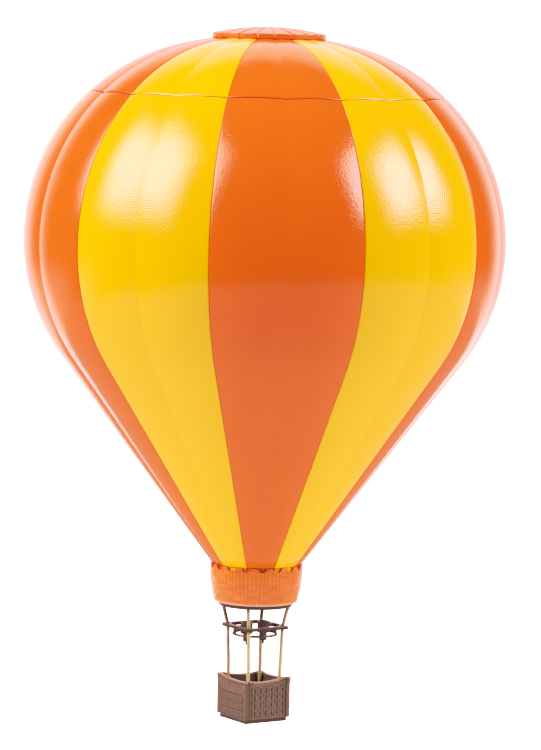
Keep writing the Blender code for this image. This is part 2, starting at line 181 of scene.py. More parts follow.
def gore_mesh(number, rows):
    """A creased gore as a grid of points bent round the axis, with slightly uneven rounded edges.
    The bare numbers in its noise only pick places in it and how fast it changes."""
    turn = FIRST_SEAM + (number + 0.5) * GORE_ANGLE
    proud = GORE_STANDS_OUT * noise.noise(Vector((number * 3.7, 50, 0.5)))
    columns = 2 * len(across(1.0)) - 2
    shape = bmesh.new()
    bmesh.ops.create_grid(shape, x_segments=columns, y_segments=len(rows) - 1, size=1.0)
    side_mm = shape.verts.layers.float.new("across_mm")
    painted_shade = shape.verts.layers.float.new("painted_shade")
    for vertex in shape.verts:
        column = round((vertex.co.x + 1) / 2 * columns) - columns // 2
        radius, z, elevation, from_joint = rows[round((1 - vertex.co.y) / 2 * (len(rows) - 1))]
        rough = noise.noise(Vector((number * 5.1 + math.copysign(1, column), z * 900, 2.0)))
        half_width = (GORE_ANGLE / 2 - SEAM_HALF_GAP * (1 + rough) / radius) * radius
        distance = across(half_width)[abs(column)]
        side = math.copysign(distance / radius, column)
        lobe = 2 * distance / half_width - 1
        edge_factor = noise.fractal(Vector((side * 22 + number * 9.0, 50, 7.0)), 0.8, 2.0, 4)
        drop = LOBE_DEPTH * radius / EQUATOR_RADIUS * lobe * lobe - proud
        drop += 0.5 * fallen(half_width - distance, SEAM_ROUND * (1 + 0.3 * rough))
        drop += (0.7 + 0.4 * edge_factor) * fallen(from_joint, JOINT_ROUND)
        wobble = JOINT_WOBBLE * edge_factor * max(0.0, 1 - from_joint / JOINT_WOBBLE_REACH)
        vertex[side_mm] = math.copysign(distance, column) * 1000
        # Painted shade: darker at the seams and, unevenly, along the joint
        at_joint = max(0.0, 1 - from_joint / JOINT_SHADE_REACH)
        vertex[painted_shade] = max(0.9 - 0.9 * (half_width - distance) / SEAM_SHADE_REACH,
                             (0.8 + 1.2 * edge_factor) * at_joint, 0.0)
        vertex.co = spoke(turn + side, radius - drop * math.cos(elevation),
                          z - drop * math.sin(elevation) + wobble * math.cos(elevation))
    outward = spoke(turn, 1.0)
    bmesh.ops.recalc_face_normals(shape, faces=shape.faces)
    if sum(face.normal.dot(outward) for face in shape.faces) < 0:
        bmesh.ops.reverse_faces(shape, faces=shape.faces)
    return moulded(shape, 50)


def put_in_scene(name, data):
    thing = bpy.data.objects.new(name, data)
    bpy.context.scene.collection.objects.link(thing)
    return thing


def show(name, data, material):
    """A new piece with its one material, in the scene."""
    data.name = name
    data.materials.append(material)
    return put_in_scene(name, data)


def thicken(piece, wall):
    shell = piece.modifiers.new("wall", "SOLIDIFY")
    shell.thickness = wall
    shell.offset = -1


def gloss_polystyrene(name, colour):
    """Injection-moulded polystyrene off a polished tool: a clear gloss with an orange peel of
    0.7 mm, drawn coarser than real to show, and the tool's fine cutter lines 0.6 mm apart, which
    run round two marks beside the crease."""
    material, tree, shader = new_material(name)
    place = add_node(tree, "TexCoord").outputs["Object"]
    height = add_node(tree, "SeparateXYZ", {0: place}).outputs["Z"]
    side = add_node(tree, "Attribute", attribute_name="across_mm").outputs["Fac"]
    painted_shade = add_node(tree, "Attribute", attribute_name="painted_shade").outputs["Fac"]
    # Pigment swirls, about 12 mm long, a few per cent lighter and darker
    swirl = add_node(tree, "TexNoise", {"Vector": place, "Scale": 80.0, "Detail": 3.0})
    tint = add_node(tree, "Mix", {0: swirl, 6: shade(colour, 0.95), 7: shade(colour, 1.05)},
                    data_type="RGBA")
    # Painted shade: the seams and the joint are darkened brown
    shade_brown = shade(colour, 0.35, 0.25, 0.2)
    tint = add_node(tree, "Mix", {0: painted_shade, 6: tint, 7: shade_brown}, data_type="RGBA")
    # Millimetres from the nearer mark beside the crease; above the marks the lines run level
    off_side = add_node(tree, "Math", {0: side}, operation="ABSOLUTE")
    off_side = add_node(tree, "Math", {0: off_side, 1: MARK_TO_CREASE_MM}, operation="SUBTRACT")
    off_height = add_node(tree, "Math", {0: height, 1: 1000.0, 2: -MARK_Z * 1000},
                          operation="MULTIPLY_ADD")
    level = add_node(tree, "MapRange", {
        "Value": off_height, "From Min": -1.0, "From Max": 10.0, "To Min": 1.0, "To Max": 0.1},
        interpolation_type="SMOOTHSTEP")
    narrow = add_node(tree, "Math", {0: off_side, 1: level}, operation="MULTIPLY")
    apart = add_node(tree, "CombineXYZ", {"X": narrow, "Y": off_height})
    reach = add_node(tree, "VectorMath", {0: apart}, operation="LENGTH")
    stray = add_node(tree, "TexNoise", {"Vector": place, "Scale": 220.0, "Detail": 1.0})
    path = add_node(tree, "Math", {0: stray, 1: 0.35, 2: reach}, operation="MULTIPLY_ADD")
    path = add_node(tree, "Math", {0: path, 1: 2 * math.pi / CUTTER_PITCH_MM}, operation="MULTIPLY")
    cutter = add_node(tree, "Math", {0: path}, operation="COSINE")
    # The lines are deepest round the marks, and the marks themselves are smooth
    depth = add_node(tree, "MapRange", {
        "Value": reach, "From Min": 1.7, "From Max": 9.0, "To Min": 0.24, "To Max": 0.04},
        interpolation_type="SMOOTHSTEP")
    smooth = add_node(tree, "MapRange", {"Value": reach, "From Min": 1.2, "From Max": 1.6},
                      interpolation_type="SMOOTHSTEP")
    depth = add_node(tree, "Math", {0: depth, 1: smooth}, operation="MULTIPLY")
    peel = add_node(tree, "TexNoise", {
        "Vector": place, "Scale": 1500.0, "Detail": 2.0, "Roughness": 0.6})
    peel = add_node(tree, "Math", {0: peel, 1: 1.2}, operation="MULTIPLY")
    relief = add_node(tree, "Math", {0: cutter, 1: depth, 2: peel}, operation="MULTIPLY_ADD")
    bump = add_node(tree, "Bump", {"Height": relief, "Strength": 1.0, "Distance": 0.00004})
    rough = add_node(tree, "MapRange", {
        "Value": stray, "From Min": 0.3, "From Max": 0.7, "To Min": 0.08, "To Max": 0.12})
    feed(tree, shader, {"Base Color": tint, "Roughness": rough, "Normal": bump,
                        "IOR": POLYSTYRENE_IOR})
    return material


orange_polystyrene = gloss_polystyrene("orange_gloss_polystyrene", ORANGE)
yellow_polystyrene = gloss_polystyrene("yellow_gloss_polystyrene", YELLOW)
gore_finishes = ((orange_polystyrene, "orange_plastic"), (yellow_polystyrene, "yellow_plastic"))

rows = lower_rows()
for number in range(GORES):
    finish, slot = gore_finishes[number % 2]
    panel = show(f"lower_gore_panel_{number + 1:02d}", gore_mesh(number, rows), finish)
    thicken(panel, WALL)
    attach(panel, "root")
    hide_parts(f"gore_lower_{number + 1:02d}")

# Envelope, upper part. Ten short gores of the same mouldings carry the stripes over the shoulder
# to the crown hole. They are glued on the lower ones along one level joint. Their foot there is
# rounded and a little uneven, so it catches the light in places, and painted shade darkens it in others.

CROWN_HOLE_RADIUS = 0.0080


def upper_rows():
    """(radius, height, elevation, distance from the joint) from the crown hole to the joint."""
    near = [0.0010, 0.0008, 0.00065, 0.0005, 0.00037, 0.00026, 0.00016, 0.00008, 0.00003, 0.0]
    low = [joint_angle + (JOINT_HALF_GAP + d) / SHOULDER_RADIUS for d in near]
    angles = between(math.acos(CROWN_HOLE_RADIUS / crown_radius), SHOULDER_END, 10)
    angles += between(SHOULDER_END, low[0], 16)[1:] + low[1:]
    return [outline_point(a) + ((a - joint_angle) * SHOULDER_RADIUS,) for a in angles]


rows = upper_rows()
for number in range(GORES):
    finish, slot = gore_finishes[number % 2]
    panel = show(f"upper_gore_panel_{number + 1:02d}", gore_mesh(number, rows), finish)
    thicken(panel, WALL)
    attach(panel, "root")
    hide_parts(f"gore_upper_{number + 1:02d}")

# Crown cap. A shallow orange dome in the same polystyrene, moulded with twenty radial grooves that
# end as small notches in its rim. A boss under it plugs the crown hole, and glue holds it there.

CAP_RADIUS = 0.01355
CAP_RISE = 0.0016
CAP_GROOVES = 20
CAP_GROOVE_DEPTH = 0.00030
CAP_GROOVE_HALF_WIDTH = 0.00028
CAP_GROOVE_START = 0.0012
CAP_GROOVE_RUN_IN = 0.001
CAP_RIM_ROUND = 0.00016
CAP_FOOT_CHAMFER = 0.0001
CAP_FOOT_GAP = 0.00006
CAP_BOSS_RADIUS = 0.0077
CAP_BOSS_HEIGHT = 0.0018
CAP_BOSS_GAP = 0.00012
CAP_ORANGE = "D6742A"


def cap_profile():
    """(radius, height, groove share) from the top down the outside and back under the cap."""
    sphere = (CAP_RADIUS ** 2 + CAP_RISE ** 2) / (2 * CAP_RISE)
    points = []
    for radius in between(0.0, CAP_RADIUS - CAP_RIM_ROUND, 22):
        share = min(1.0, max(0.0, (radius - CAP_GROOVE_START) / CAP_GROOVE_RUN_IN))
        points.append((radius, math.sqrt(sphere ** 2 - radius ** 2) - sphere, share))
    edge_z = points[-1][1] - CAP_RIM_ROUND
    for turn in between(math.pi / 2, 0.0, 4)[1:]:
        points.append((CAP_RADIUS - CAP_RIM_ROUND * (1 - math.cos(turn)),
                       edge_z + CAP_RIM_ROUND * math.sin(turn), 1.0))
    foot_z = crown_centre_z + math.sqrt(crown_radius ** 2 - CAP_RADIUS ** 2) + CAP_FOOT_GAP
    points += [(CAP_RADIUS, z, 0.35) for z in between(edge_z, foot_z + CAP_FOOT_CHAMFER, 4)[1:]]
    points += [(CAP_RADIUS - CAP_FOOT_CHAMFER, foot_z, 0.2)]
    seat_z = crown_centre_z + math.sqrt(crown_radius ** 2 - CAP_BOSS_RADIUS ** 2) + CAP_BOSS_GAP
    points += [(CAP_BOSS_RADIUS, seat_z, 0.0), (CAP_BOSS_RADIUS, seat_z - CAP_BOSS_HEIGHT, 0.0)]
    points += [(0.0, seat_z - CAP_BOSS_HEIGHT, 0.0)]
    return points


def join_rings(shape, upper, lower):
    """Faces between two rings of points, one of which may be a single point on the axis."""
    for i in range(max(len(upper), len(lower))):
        corners = [upper[i % len(upper)], upper[(i + 1) % len(upper)],
                   lower[(i + 1) % len(lower)], lower[i % len(lower)]]
        shape.faces.new(list(dict.fromkeys(corners)))


def cap_mesh():
    profile = cap_profile()
    pitch = 2 * math.pi / CAP_GROOVES
    # Places across one sector, in groove half widths, then even steps over the ridge
    near = [0.0, 0.35, 0.7, 1.0, 1.4]
    shape = bmesh.new()
    painted_shade = shape.verts.layers.float.new("painted_shade")
    rings = []
    for radius, z, share in profile:
        if radius == 0.0:
            rings.append([shape.verts.new((0, 0, z))])
            continue
        on_rim = radius > CAP_RADIUS - 2 * CAP_RIM_ROUND
        half = min(CAP_GROOVE_HALF_WIDTH / radius, pitch / 8)
        offsets = [n * half for n in near]
        offsets += between(offsets[-1], pitch - offsets[-1], 4)[1:-1]
        offsets += [pitch - n * half for n in reversed(near[1:])]
        ring = []
        for groove in range(CAP_GROOVES):
            for offset in offsets:
                away = min(offset, pitch - offset) / half
                dip = CAP_GROOVE_DEPTH * share * max(0.0, 1 - away * away / 1.2)
                place = spoke(FIRST_SEAM + groove * pitch + offset, radius - (dip if on_rim else 0.0))
                ring.append(shape.verts.new((place.x, place.y, z - (0.0 if on_rim else dip))))
                # Painted shade in the grooves, faint where they notch the rim
                ring[-1][painted_shade] = (0.15 if on_rim else 0.9) * dip / CAP_GROOVE_DEPTH
        rings.append(ring)
    for upper, lower in zip(rings, rings[1:]):
        join_rings(shape, upper, lower)
    bmesh.ops.recalc_face_normals(shape, faces=shape.faces)
    return moulded(shape, 38)


def satin_polystyrene(name, colour, grain_stretch, roughness, flutes):
    """Moulded polystyrene off an unpolished tool: a duller gloss, mottled 2 mm wide, with the
    flow of the melt as faint streaks, 0.7 mm apart and drawn coarser than real to show, and
    where it has flutes, shallow upright ones all round. Recesses marked in the mesh get painted
    shade. With flutes, so do the flutes' valleys and the hollows of the tool marks, and the
    bottom edge gets a painted highlight."""
    material, tree, shader = new_material(name)
    place = add_node(tree, "TexCoord").outputs["Object"]
    painted_shade = add_node(tree, "Attribute", attribute_name="painted_shade").outputs["Fac"]
    stretch = add_node(tree, "Mapping", {"Vector": place, "Scale": grain_stretch})
    flow = add_node(tree, "TexNoise", {
        "Vector": stretch, "Scale": 1400.0, "Detail": 4.0, "Roughness": 0.7})
    mottle = add_node(tree, "TexNoise", {"Vector": place, "Scale": 500.0, "Detail": 2.0})
    tint = add_node(tree, "Mix", {0: flow, 6: shade(colour, 0.78), 7: shade(colour, 1.22)},
                    data_type="RGBA")
    deep = shade(colour, 0.5)
    # Painted shade where the mesh marks a recess
    tint = add_node(tree, "Mix", {0: painted_shade, 6: tint, 7: deep}, data_type="RGBA")
    rough = add_node(tree, "MapRange", {"Value": mottle, "From Min": 0.3, "From Max": 0.7,
                                        "To Min": roughness[0], "To Max": roughness[1]})
    relief = add_node(tree, "Math", {0: mottle, 1: flow}, operation="ADD")
    if flutes:
        plan = add_node(tree, "SeparateXYZ", {0: place})
        turn = add_node(tree, "Math", {0: plan.outputs["X"], 1: plan.outputs["Y"]},
                        operation="ARCTAN2")
        turn = add_node(tree, "Math", {0: turn, 1: float(flutes)}, operation="MULTIPLY")
        wave = add_node(tree, "Math", {0: turn}, operation="COSINE")
        strong = add_node(tree, "MapRange", {"Value": mottle, "From Min": 0.35, "From Max": 0.75})
        relief = add_node(tree, "Math", {0: wave, 1: strong, 2: relief}, operation="MULTIPLY_ADD")
        # Painted shade in the flutes' valleys
        valley = add_node(tree, "MapRange", {
            "Value": wave, "From Min": 0.2, "From Max": -1.0, "To Max": 0.4})
        tint = add_node(tree, "Mix", {0: valley, 6: tint, 7: deep}, data_type="RGBA")
        # Fine level tool marks, 0.6 mm apart, cross the flutes, with painted shade in their hollows
        level = add_node(tree, "Mapping", {"Vector": place, "Scale": (0.15, 0.15, 1)})
        marks = add_node(tree, "TexNoise", {
            "Vector": level, "Scale": 1700.0, "Detail": 2.0, "Roughness": 0.6})
        relief = add_node(tree, "Math", {0: relief, 1: marks}, operation="ADD")
        marks = add_node(tree, "MapRange", {
            "Value": marks, "From Min": 0.35, "From Max": 0.60, "To Min": 0.6, "To Max": 0.0})
        tint = add_node(tree, "Mix", {0: marks, 6: tint, 7: deep}, data_type="RGBA")
        # Painted highlight along the bottom edge
        edge = add_node(tree, "MapRange", {"Value": plan.outputs["Z"],
                                           "From Min": SKIRT_BOTTOM_Z + 0.0002,
                                           "From Max": SKIRT_BOTTOM_Z + 0.0008,
                                           "To Min": 0.55, "To Max": 0.0})
        painted_highlight = tuple(0.45 + 0.55 * c for c in linear(colour)[:3]) + (1.0,)
        tint = add_node(tree, "Mix", {0: edge, 6: tint, 7: painted_highlight}, data_type="RGBA")
    bump = add_node(tree, "Bump", {"Height": relief, "Strength": 1.0, "Distance": 0.00007})
    feed(tree, shader, {"Base Color": tint, "Roughness": rough, "Normal": bump,
                        "IOR": POLYSTYRENE_IOR})
    return material


cap_polystyrene = satin_polystyrene("cap_orange_polystyrene", CAP_ORANGE, (1, 1, 1), (0.16, 0.26), 0)
cap = show("crown_cap_dome", cap_mesh(), cap_polystyrene)
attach(cap, "root")
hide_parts("crown_cap")

# Skirt. A turned-in orange collar pushed on the envelope's neck, with eighteen half-round notches
# in its top edge through which the neck shows. It is moulded in a less polished tool than the
# gores, so its gloss is broken into faint upright streaks.

SKIRT_TOP_Z = -0.1284
SKIRT_BEND_Z = -0.1312
SKIRT_SEAT_Z = -0.1363
SKIRT_BOTTOM_Z = -0.13765
SKIRT_TOP_RADIUS = 0.0111
SKIRT_BOTTOM_RADIUS = 0.01015
SKIRT_WALL = 0.0009
SKIRT_TOP_WALL = 0.0005
SKIRT_EDGE_ROUND = 0.0007
SKIRT_BOW = 0.0001
SKIRT_UNEVEN = 0.00003
SKIRT_SOFT_EDGE = 0.00012
SKIRT_FLUTES = 72
NOTCHES = 18
NOTCH_RADIUS = 0.00115
NOTCH_CENTRE_Z = SKIRT_TOP_Z + 0.00015
NOTCH_PEG_LENGTH = 0.0026
SKIRT_ORANGE = "E4802C"


def skirt_profile():
    """(radius, height) round the section, starting inside the slightly rounded top edge."""
    inner_top = SKIRT_TOP_RADIUS - SKIRT_TOP_WALL
    inner_bottom = SKIRT_BOTTOM_RADIUS - SKIRT_WALL
    points = [(inner_top, SKIRT_TOP_Z), (SKIRT_TOP_RADIUS - 0.00012, SKIRT_TOP_Z + 0.00003),
              (SKIRT_TOP_RADIUS - 0.00003, SKIRT_TOP_Z - 0.00004)]
    points += [(SKIRT_TOP_RADIUS, z) for z in between(SKIRT_TOP_Z - 0.00013, SKIRT_BEND_Z + 0.0006, 6)]
    low_z = SKIRT_BOTTOM_Z + SKIRT_EDGE_ROUND
    for share in between(0.0, 1.0, 10):
        bow = SKIRT_BOW * math.sin(math.pi * share)
        points.append((SKIRT_TOP_RADIUS + (SKIRT_BOTTOM_RADIUS - SKIRT_TOP_RADIUS) * share + bow,
                       SKIRT_BEND_Z + (low_z - SKIRT_BEND_Z) * share))
    for turn in between(0.0, math.pi / 2, 7)[1:]:
        points.append((SKIRT_BOTTOM_RADIUS - SKIRT_EDGE_ROUND * (1 - math.cos(turn)),
                       low_z - SKIRT_EDGE_ROUND * math.sin(turn)))
    return points + [(inner_bottom, SKIRT_BOTTOM_Z), (inner_bottom, SKIRT_SEAT_Z),
                     (inner_top, SKIRT_BEND_Z)]


def turned_mesh(profile, steps, sharp, uneven=0.0):
    """A closed ring or a solid of revolution from a profile listed down its outer side."""
    shape = bmesh.new()
    rings = []
    for radius, z in profile:
        if radius == 0.0:
            rings.append([shape.verts.new((0, 0, z))])
            continue
        ring = []
        for i in range(steps):
            angle = 2 * math.pi * i / steps
            rough = uneven * noise.noise(spoke(angle, 6.0, z * 300))
            ring.append(shape.verts.new(spoke(angle, radius + rough, z)))
        rings.append(ring)
    if profile[0][0] > 0:
        rings.append(rings[0])
    for upper, lower in zip(rings, rings[1:]):
        join_rings(shape, upper, lower)
    bmesh.ops.recalc_face_normals(shape, faces=shape.faces)
    return moulded(shape, sharp)


def notch_cutter():
    """Eighteen level pegs joined in one mesh, which cut the notches."""
    shape = bmesh.new()
    for number in range(NOTCHES):
        angle = FIRST_SEAM + number * 2 * math.pi / NOTCHES
        place = Matrix.Translation(spoke(angle, SKIRT_TOP_RADIUS - SKIRT_TOP_WALL / 2, NOTCH_CENTRE_Z))
        lay = Matrix.Rotation(angle, 4, "Z") @ Matrix.Rotation(math.pi / 2, 4, "X")
        bmesh.ops.create_cone(shape, cap_ends=True, segments=28, radius1=NOTCH_RADIUS,
                              radius2=NOTCH_RADIUS, depth=NOTCH_PEG_LENGTH, matrix=place @ lay)
    return moulded(shape)


def cut_away(piece, cutter_mesh):
    """Cuts a mesh out of a piece for good, and leaves no cutter behind."""
    cutter = put_in_scene("cutter", cutter_mesh)
    trim = piece.modifiers.new("cut", "BOOLEAN")
    trim.object = cutter
    trim.solver = "EXACT"
    graph = bpy.context.evaluated_depsgraph_get()
    cut = bpy.data.meshes.new_from_object(piece.evaluated_get(graph), depsgraph=graph)
    piece.modifiers.clear()
    piece.data = cut
    bpy.data.objects.remove(cutter)
    cut.shade_smooth()
    cut.set_sharp_from_angle(angle=math.radians(35))


def soften(piece, width):
    """Rounds a moulding's edges with a narrow bevel."""
    edge = piece.modifiers.new("soft_edges", "BEVEL")
    edge.width = width
    edge.segments = 2
    edge.limit_method = "ANGLE"
    edge.angle_limit = math.radians(40)


skirt_polystyrene = satin_polystyrene("skirt_orange_polystyrene", SKIRT_ORANGE, (1, 1, 0.12),
                                      (0.24, 0.38), SKIRT_FLUTES)
skirt = show("skirt_collar", turned_mesh(skirt_profile(), 180, 35, SKIRT_UNEVEN), skirt_polystyrene)
cut_away(skirt, notch_cutter())
soften(skirt, SKIRT_SOFT_EDGE)
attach(skirt, "root")
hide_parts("skirt")

# Mouth ring. A brown polystyrene ring glued inside the foot of the skirt, whose lower edge shows
# under it. The four wires end in it.

RING_OUTER_RADIUS = 0.00895
RING_INNER_RADIUS = 0.0068
RING_TOP_Z = -0.1366
RING_BOTTOM_Z = -0.1386
RING_CORNER_ROUND = 0.0002
RING_UNEVEN = 0.00002
BURNER_BROWN = "50473B"


def rounded_section(inner, outer, bottom, top, corner):
    """A rectangle with rounded corners as (radius, height), listed down its outer side."""
    points = []
    for x, z, start in ((outer, top, 90), (outer, bottom, 0), (inner, bottom, -90), (inner, top, -180)):
        x -= math.copysign(corner, x - (inner + outer) / 2)
        z -= math.copysign(corner, z - (bottom + top) / 2)
        points += [(x + corner * math.cos(math.radians(a)), z + corner * math.sin(math.radians(a)))
                   for a in between(start, start - 90, 4)]
    return points


def blasted_polystyrene(name, colour):
    """Brown polystyrene off a finely blasted tool: a low gloss, mottled 1.4 mm wide, with a grain
    of 0.2 mm drawn coarser than real, painted shade in the grooves, on undersides and on inner
    faces, and a painted highlight on sharp edges and along the basket's rim."""
    material, tree, shader = new_material(name)
    place = add_node(tree, "TexCoord").outputs["Object"]
    pointed = add_node(tree, "NewGeometry").outputs["Pointiness"]
    rim = add_node(tree, "Attribute", attribute_name="rim_highlight").outputs["Fac"]
    painted_shade = add_node(tree, "Attribute", attribute_name="painted_shade").outputs["Fac"]
    mottle = add_node(tree, "TexNoise", {"Vector": place, "Scale": 700.0, "Detail": 4.0})
    grain = add_node(tree, "TexNoise", {"Vector": place, "Scale": 4200.0, "Detail": 2.0})
    tint = add_node(tree, "Mix", {0: mottle, 6: shade(colour, 0.82), 7: shade(colour, 1.18)},
                    data_type="RGBA")
    # Painted highlight on sharp edges
    edge_factor = add_node(tree, "MapRange", {
        "Value": pointed, "From Min": 0.5, "From Max": 0.62, "To Max": 0.25})
    painted_highlight = shade(colour, 1.8)
    # Mixed in: painted highlight on edges and on the rim, painted shade in recesses
    for share, other in ((edge_factor, painted_highlight), (rim, painted_highlight), (painted_shade, shade(colour, 0.28))):
        tint = add_node(tree, "Mix", {0: share, 6: tint, 7: other}, data_type="RGBA")
    rough = add_node(tree, "MapRange", {
        "Value": mottle, "From Min": 0.3, "From Max": 0.7, "To Min": 0.26, "To Max": 0.40})
    bump = add_node(tree, "Bump", {"Height": grain, "Strength": 0.4, "Distance": 0.00003})
    feed(tree, shader, {"Base Color": tint, "Roughness": rough, "Normal": bump,
                        "IOR": POLYSTYRENE_IOR})
    return material


burner_brown_polystyrene = blasted_polystyrene("burner_brown_polystyrene", BURNER_BROWN)
ring_section = rounded_section(RING_INNER_RADIUS, RING_OUTER_RADIUS, RING_BOTTOM_Z, RING_TOP_Z,
                               RING_CORNER_ROUND)
ring = show("mouth_ring_moulding", turned_mesh(ring_section, 120, 30, RING_UNEVEN),
            burner_brown_polystyrene)
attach(ring, "root")
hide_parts("mouth_ring")

# Suspension wires. Four lengths of drawn brass wire, 0.9 mm thick, bent a little by hand where
# they pass the eyes of the burner frame. They run from the mouth ring to the basket's corners.

WIRES = 4
WIRE_RADIUS = 0.00045
WIRE_RING_RADIUS = 0.00815
WIRE_FRAME_RADIUS = 0.00674
WIRE_BASKET_RADIUS = 0.00595
WIRE_TOP_Z = RING_BOTTOM_Z + 0.0004
WIRE_END_Z = -0.1656
WIRE_BEND = 0.00010
FRAME_Z = -0.14375
SHADE_REACH = 0.0012
REAR_SHADE_REACH = 0.0040
BRASS = "EAE8C0"


def drawn_brass_material():
    """Drawn brass wire: a soft metal gloss with die lines along it, 0.1 mm apart, and a slightly
    dull skin. Its upper ends, under the ring, are darkened brown with painted shade. On the two
    wires behind that painted shade reaches down to the burner frame, and the rest of them is a
    little darkened with it too."""
    material, tree, shader = new_material("drawn_brass_wire")
    place = add_node(tree, "TexCoord").outputs["Object"]
    plan = add_node(tree, "SeparateXYZ", {0: place})
    stretch = add_node(tree, "Mapping", {"Vector": place, "Scale": (1, 1, 0.05)})
    lines = add_node(tree, "TexNoise", {"Vector": stretch, "Scale": 9000.0, "Detail": 2.0})
    skin = add_node(tree, "TexNoise", {"Vector": place, "Scale": 600.0, "Detail": 3.0})
    tint = add_node(tree, "Mix", {0: skin, 6: shade(BRASS, 0.90, 0.90, 0.84), 7: linear(BRASS)},
                    data_type="RGBA")
    # Painted shade: darker towards the upper ends and on the two wires behind
    rear = add_node(tree, "MapRange", {
        "Value": plan.outputs["Y"], "From Min": 0.002, "From Max": 0.004})
    level = add_node(tree, "Math", {0: rear, 1: REAR_SHADE_REACH, 2: plan.outputs["Z"]},
                     operation="MULTIPLY_ADD")
    upper = add_node(tree, "MapRange", {"Value": level, "From Min": RING_BOTTOM_Z - SHADE_REACH,
                                        "From Max": RING_BOTTOM_Z + 0.0002, "To Max": 0.75})
    whole = add_node(tree, "Math", {0: rear, 1: 0.3}, operation="MULTIPLY")
    shade_share = add_node(tree, "Math", {0: upper, 1: whole}, operation="MAXIMUM")
    shade_brown = shade(BRASS, 0.22, 0.16, 0.12)
    tint = add_node(tree, "Mix", {0: shade_share, 6: tint, 7: shade_brown}, data_type="RGBA")
    rough = add_node(tree, "MapRange", {
        "Value": skin, "From Min": 0.3, "From Max": 0.7, "To Min": 0.60, "To Max": 0.72})
    bump = add_node(tree, "Bump", {"Height": lines, "Strength": 0.4, "Distance": 0.00002})
    feed(tree, shader, {"Base Color": tint, "Roughness": rough, "Normal": bump, "Metallic": 1.0,
                        "Specular Tint": (0.5, 0.5, 0.4, 1.0)})
    return material


def wire_path(number):
    """Points down one wire, with the slight hand bends of a real one."""
    angle = FIRST_SEAM + number * 2 * math.pi / WIRES
    points = []
    for z in between(WIRE_TOP_Z, WIRE_END_Z, 44):
        if z > FRAME_Z:
            share = (WIRE_TOP_Z - z) / (WIRE_TOP_Z - FRAME_Z)
            radius = WIRE_RING_RADIUS + (WIRE_FRAME_RADIUS - WIRE_RING_RADIUS) * share
        else:
            share = (FRAME_Z - z) / (FRAME_Z - WIRE_END_Z)
            radius = WIRE_FRAME_RADIUS + (WIRE_BASKET_RADIUS - WIRE_FRAME_RADIUS) * share
        bend = WIRE_BEND * math.sin(math.pi * min(1.0, max(0.0, share)))
        sway = bend * noise.noise(Vector((number * 7.3, z * 260, 1.0)))
        lean = bend * noise.noise(Vector((number * 7.3, z * 260, 9.0)))
        points.append(spoke(angle + lean / radius, radius + sway, z))
    return points


def tube(points, radius):
    """A round rod along a path, with closed ends."""
    data = bpy.data.curves.new("tube", "CURVE")
    data.dimensions = "3D"
    data.bevel_depth = radius
    data.bevel_resolution = 4
    data.use_fill_caps = True
    path = data.splines.new("POLY")
    path.points.add(len(points) - 1)
    for point, place in zip(path.points, points):
        point.co = (*place, 1)
    path.use_smooth = True
    return data


drawn_brass = drawn_brass_material()
for number in range(WIRES):
    wire = show(f"brass_wire_{number + 1}", tube(wire_path(number), WIRE_RADIUS), drawn_brass)
    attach(wire, "root")
    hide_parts(f"suspension_wire_{number + 1}")

# Burner frame. One flat brown moulding: a square of bars with an eye in each corner for a wire,
# and a short arm from its left and its right bar that holds a burner can at its end.

FRAME_HEIGHT = 0.0008
FRAME_OUTER = 0.0059
FRAME_INNER = 0.0049
FRAME_CORNER_ROUND = 0.0004
FRAME_GUSSET = 0.0017
EYE_CLEARANCE = 0.00008
ARM_END_HALF_WIDTH = 0.0005
ARM_ROOT_HALF_WIDTH = 0.0007
ARM_INTO_CAN = 0.0002
BURNER_X = 0.00235
CAN_RADIUS = 0.00145
NARROW_EDGE = 0.00008


def circle(x, y, radius, count):
    turns = between(0.0, 2 * math.pi, count)[:-1]
    return [(x + radius * math.cos(a), y + radius * math.sin(a)) for a in turns]


def rounded_square(half, corner, steps):
    """A square in plan with rounded corners."""
    points = []
    for number in range(4):
        turn = math.pi / 4 + number * math.pi / 2
        x = math.copysign(half - corner, math.cos(turn))
        y = math.copysign(half - corner, math.sin(turn))
        points += [(x + corner * math.cos(a), y + corner * math.sin(a))
                   for a in between(turn - math.pi / 4, turn + math.pi / 4, steps)]
    return points


def frame_window():
    """The frame's open middle, with the two arms that reach in from the sides."""
    gusset = FRAME_INNER - FRAME_GUSSET
    arm_end = BURNER_X + CAN_RADIUS - ARM_INTO_CAN
    quarter = [(arm_end, ARM_END_HALF_WIDTH), (FRAME_INNER, ARM_ROOT_HALF_WIDTH),
               (FRAME_INNER, gusset), (gusset, FRAME_INNER)]
    half = quarter + [(-x, y) for x, y in reversed(quarter)]
    return half + [(x, -y) for x, y in reversed(half)]


def prism(shape, places, height):
    """An upright prism on an outline in plan, half above and half below Z = 0."""
    base = shape.faces.new([shape.verts.new((x, y, -height / 2)) for x, y in places])
    made = bmesh.ops.extrude_face_region(shape, geom=[base])
    moved = [item for item in made["geom"] if isinstance(item, bmesh.types.BMVert)]
    bmesh.ops.translate(shape, verts=moved, vec=(0, 0, height))
    bmesh.ops.recalc_face_normals(shape, faces=shape.faces)


def plate_mesh(outline, height):
    """A flat moulding with painted shade on its lower half, towards its underside."""
    shape = bmesh.new()
    painted_shade = shape.verts.layers.float.new("painted_shade")
    prism(shape, outline, height)
    for vertex in shape.verts:
        # Painted shade on the lower half
        vertex[painted_shade] = 0.7 if vertex.co.z < 0 else 0.0
    return moulded(shape)


